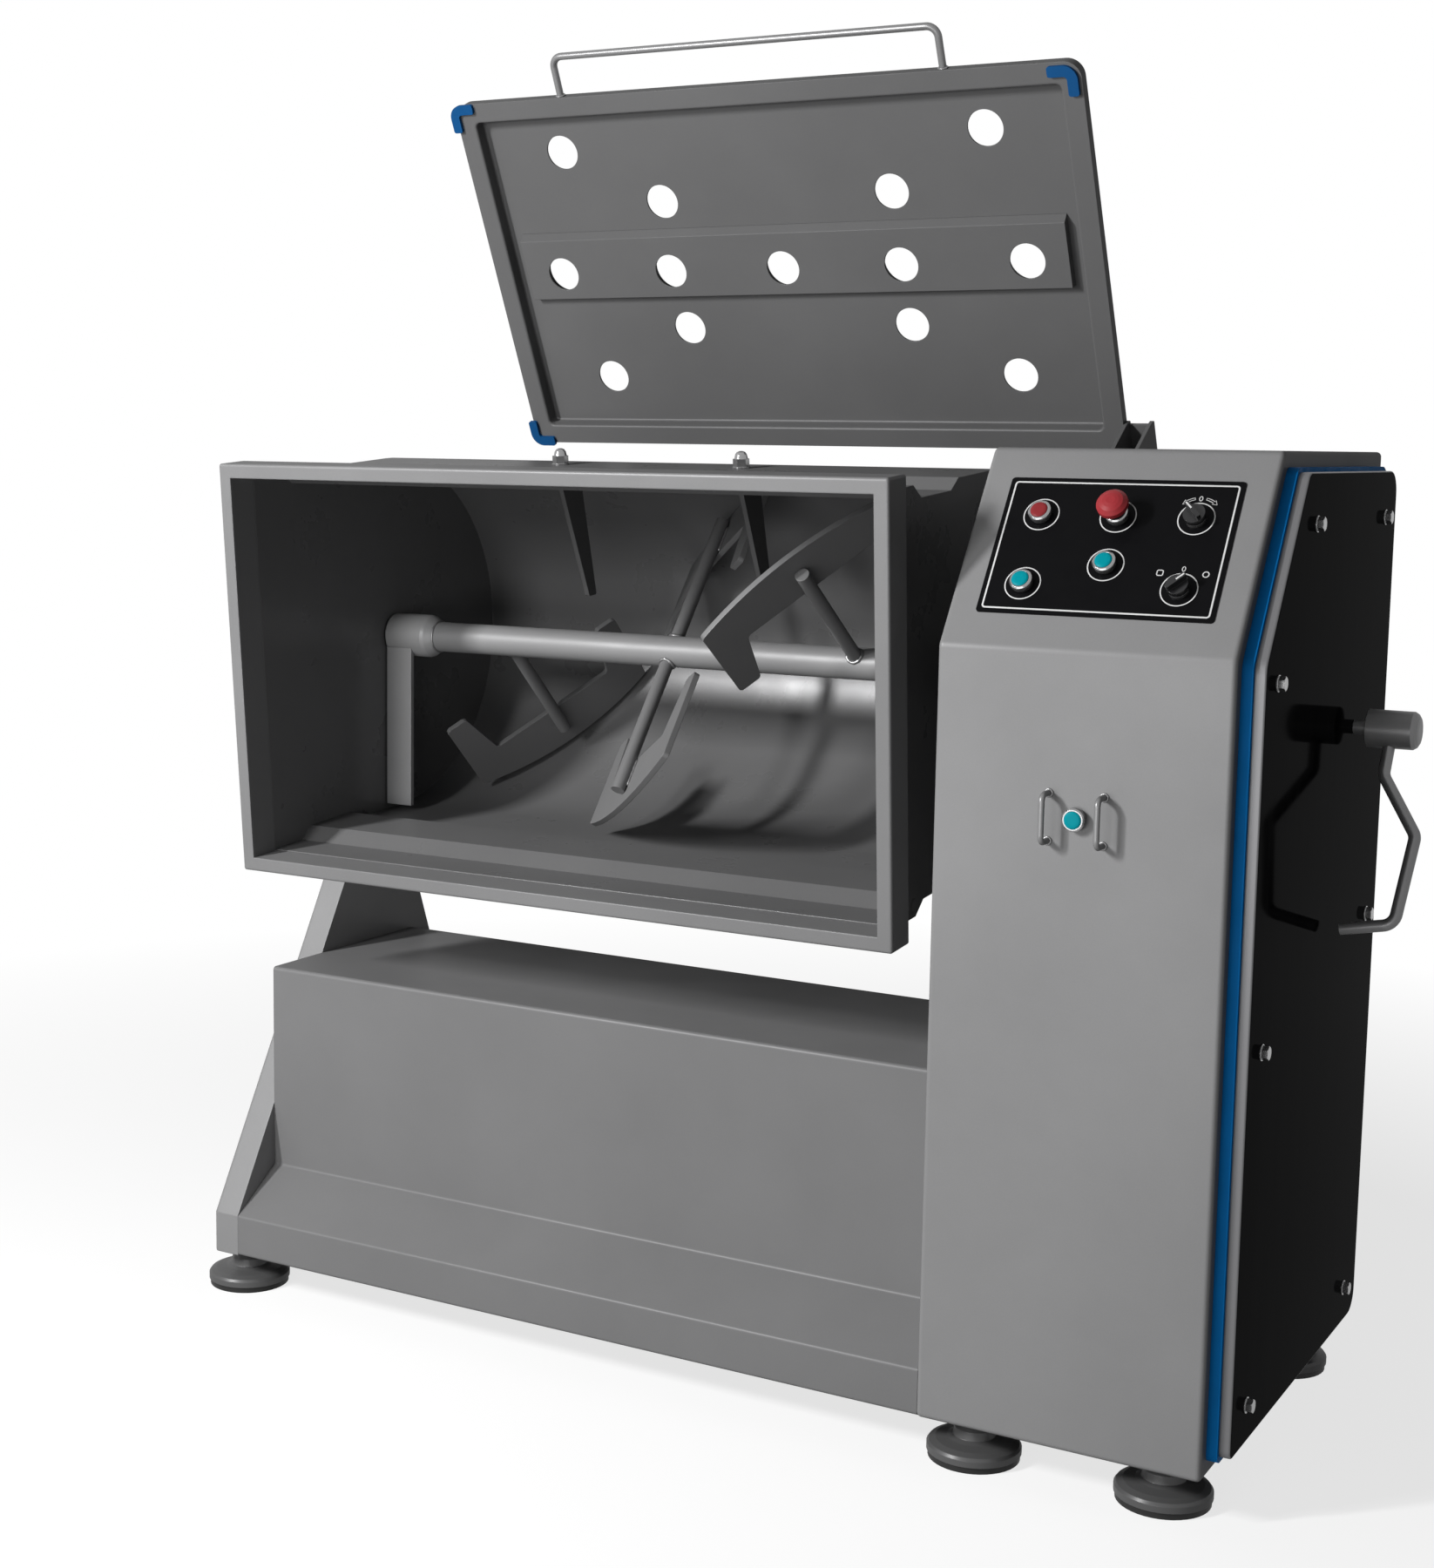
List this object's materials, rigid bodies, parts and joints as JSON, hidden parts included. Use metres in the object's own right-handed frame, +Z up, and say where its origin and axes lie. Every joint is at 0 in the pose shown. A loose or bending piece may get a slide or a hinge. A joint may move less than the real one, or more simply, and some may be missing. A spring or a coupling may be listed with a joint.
{
  "type": "tilting trough dough mixer",
  "caption": "Free-standing stainless dough mixer with a tilting trough, turning shaft with hooked paddles, perforated lid, column and drive cabinet.",
  "frame": {"origin": "bottom centre of the machine's bounding box, on the floor", "axes": "+Z up, +X along the trough towards the drive cabinet, operator's front faces -Y"},
  "size_m": [1.8358, 0.945, 2.0397],
  "materials": {
    "satin_steel": "fine bead-blasted stainless steel, satin",
    "polished_steel": "mirror polished stainless steel sheet",
    "bright_steel": "polished stainless fasteners and bar",
    "blue_seal": "matt blue food-grade rubber",
    "black_rubber": "matt black rubber",
    "panel_black": "black printed foil, satin",
    "black_plastic": "black moulded plastic",
    "red_plastic": "red moulded plastic",
    "teal_plastic": "translucent teal plastic",
    "grey_paint": "grey machine enamel",
    "motor_alloy": "cast alloy, plain",
    "seal_white": "white acetal",
    "carbon_steel": "machined steel"
  },
  "bodies": {
    "frame": {"cabinet_shell": "satin_steel", "side_gasket": "blue_seal", "side_cover": "polished_steel", "cover_bolts": "bright_steel", "cover_spacers": "bright_steel", "control_overlay": "panel_black", "control_bezels": "bright_steel", "switch_contacts": "black_plastic", "button_guards": "bright_steel", "base_housing": "satin_steel", "left_column": "satin_steel", "left_bearing": "satin_steel", "bearing_cap": "satin_steel", "right_bearing": "carbon_steel", "foot_pads": "black_rubber", "foot_discs": "satin_steel", "foot_stems": "bright_steel", "mixer_gearbox": "grey_paint", "mixer_motor": "motor_alloy", "tilt_gearbox": "grey_paint", "tilt_motor": "motor_alloy", "drive_plate": "carbon_steel", "switchgear": "black_plastic", "cable_gland": "black_plastic", "hinge_bearings": "satin_steel"},
    "trough": {"trough_shell": "satin_steel", "trough_flange": "satin_steel", "left_trunnion": "satin_steel", "right_trunnion": "satin_steel", "shaft_seals": "seal_white", "shaft_bushes": "seal_white", "knives": "satin_steel", "knife_nuts": "bright_steel", "tilt_sector": "carbon_steel"},
    "mixer": {"mixing_shaft": "satin_steel", "shaft_hub": "satin_steel", "paddle_spokes": "satin_steel", "paddle_left": "satin_steel", "paddle_middle_upper": "satin_steel", "paddle_middle_lower": "satin_steel", "paddle_right": "satin_steel", "end_wiper": "satin_steel"},
    "pinion": {"tilt_pinion": "carbon_steel"},
    "lid": {"lid_pan": "satin_steel", "lid_channel": "satin_steel", "lid_pads": "blue_seal", "lid_handle": "bright_steel", "lid_arm": "satin_steel", "hinge_shaft": "bright_steel"},
    "lever": {"lever_rod": "bright_steel", "lever_boss": "bright_steel", "lever_catch": "carbon_steel"},
    "stop": {"stop_button": "red_plastic"},
    "manual": {"manual_button": "teal_plastic"},
    "start": {"start_button": "teal_plastic"},
    "tilt": {"tilt_button": "teal_plastic"},
    "emergency_plunger": {"emergency_stem": "black_plastic"},
    "emergency_cap": {"emergency_mushroom": "red_plastic"},
    "direction": {"direction_selector": "black_plastic"},
    "mode": {"mode_selector": "black_plastic"}
  },
  "joints": [
    {"name": "trough_tilt", "type": "hinge", "parent": "frame", "child": "trough", "pos_m": [0.37808, -0.04094, 1.06], "axis": [-1, 0, 0], "range_deg": [0, 94.65]},
    {"name": "tilt_pinion_spin", "type": "hinge", "parent": "frame", "child": "pinion", "pos_m": [0.37808, -0.20332, 0.96625], "axis": [-1, 0, 0], "range_deg": [-380, 0]},
    {"name": "shaft_spin", "type": "hinge", "parent": "frame", "child": "mixer", "pos_m": [0.37808, -0.04094, 1.06], "axis": [1, 0, 0], "continuous": true},
    {"name": "lid_swing", "type": "hinge", "parent": "frame", "child": "lid", "pos_m": [0.37808, 0.29506, 1.3096], "axis": [1, 0, 0], "range_deg": [0, 64.1]},
    {"name": "lever_turn", "type": "hinge", "parent": "frame", "child": "lever", "pos_m": [0.80808, 0.05506, 1.006], "axis": [1, 0, 0], "range_deg": [0, 90]},
    {"name": "stop_press", "type": "slide", "parent": "frame", "child": "stop", "axis": [0, 0.8261, -0.5635], "range_m": [0, 0.0035], "stiffness_N_per_m": 600, "springref_m": -0.003},
    {"name": "manual_press", "type": "slide", "parent": "frame", "child": "manual", "axis": [0, 0.8261, -0.5635], "range_m": [0, 0.0035], "stiffness_N_per_m": 600, "springref_m": -0.003},
    {"name": "start_press", "type": "slide", "parent": "frame", "child": "start", "axis": [0, 0.8261, -0.5635], "range_m": [0, 0.0035], "stiffness_N_per_m": 600, "springref_m": -0.003},
    {"name": "tilt_press", "type": "slide", "parent": "frame", "child": "tilt", "axis": [0, 1, 0], "range_m": [0, 0.0035], "stiffness_N_per_m": 600, "springref_m": -0.003},
    {"name": "emergency_press", "type": "slide", "parent": "frame", "child": "emergency_plunger", "axis": [0, 0.8261, -0.5635], "range_m": [0, 0.004], "stiffness_N_per_m": 900, "springref_m": -0.003},
    {"name": "emergency_twist", "type": "hinge", "parent": "emergency_plunger", "child": "emergency_cap", "pos_m": [0.57908, -0.32094, 1.30338], "axis": [0, 0.8261, -0.5635], "range_deg": [0, 45], "stiffness_Nm_per_rad": 0.05, "springref_deg": -11.46},
    {"name": "direction_turn", "type": "hinge", "parent": "frame", "child": "direction", "pos_m": [0.68358, -0.32094, 1.30338], "axis": [0, -0.8261, 0.5635], "range_deg": [-90, 0]},
    {"name": "mode_turn", "type": "hinge", "parent": "frame", "child": "mode", "pos_m": [0.68358, -0.38123, 1.21499], "axis": [0, -0.8261, 0.5635], "range_deg": [0, 90]}
  ],
  "couplings": [
    {"joint": "tilt_pinion_spin", "follows": "trough_tilt", "ratio": -4}
  ]
}
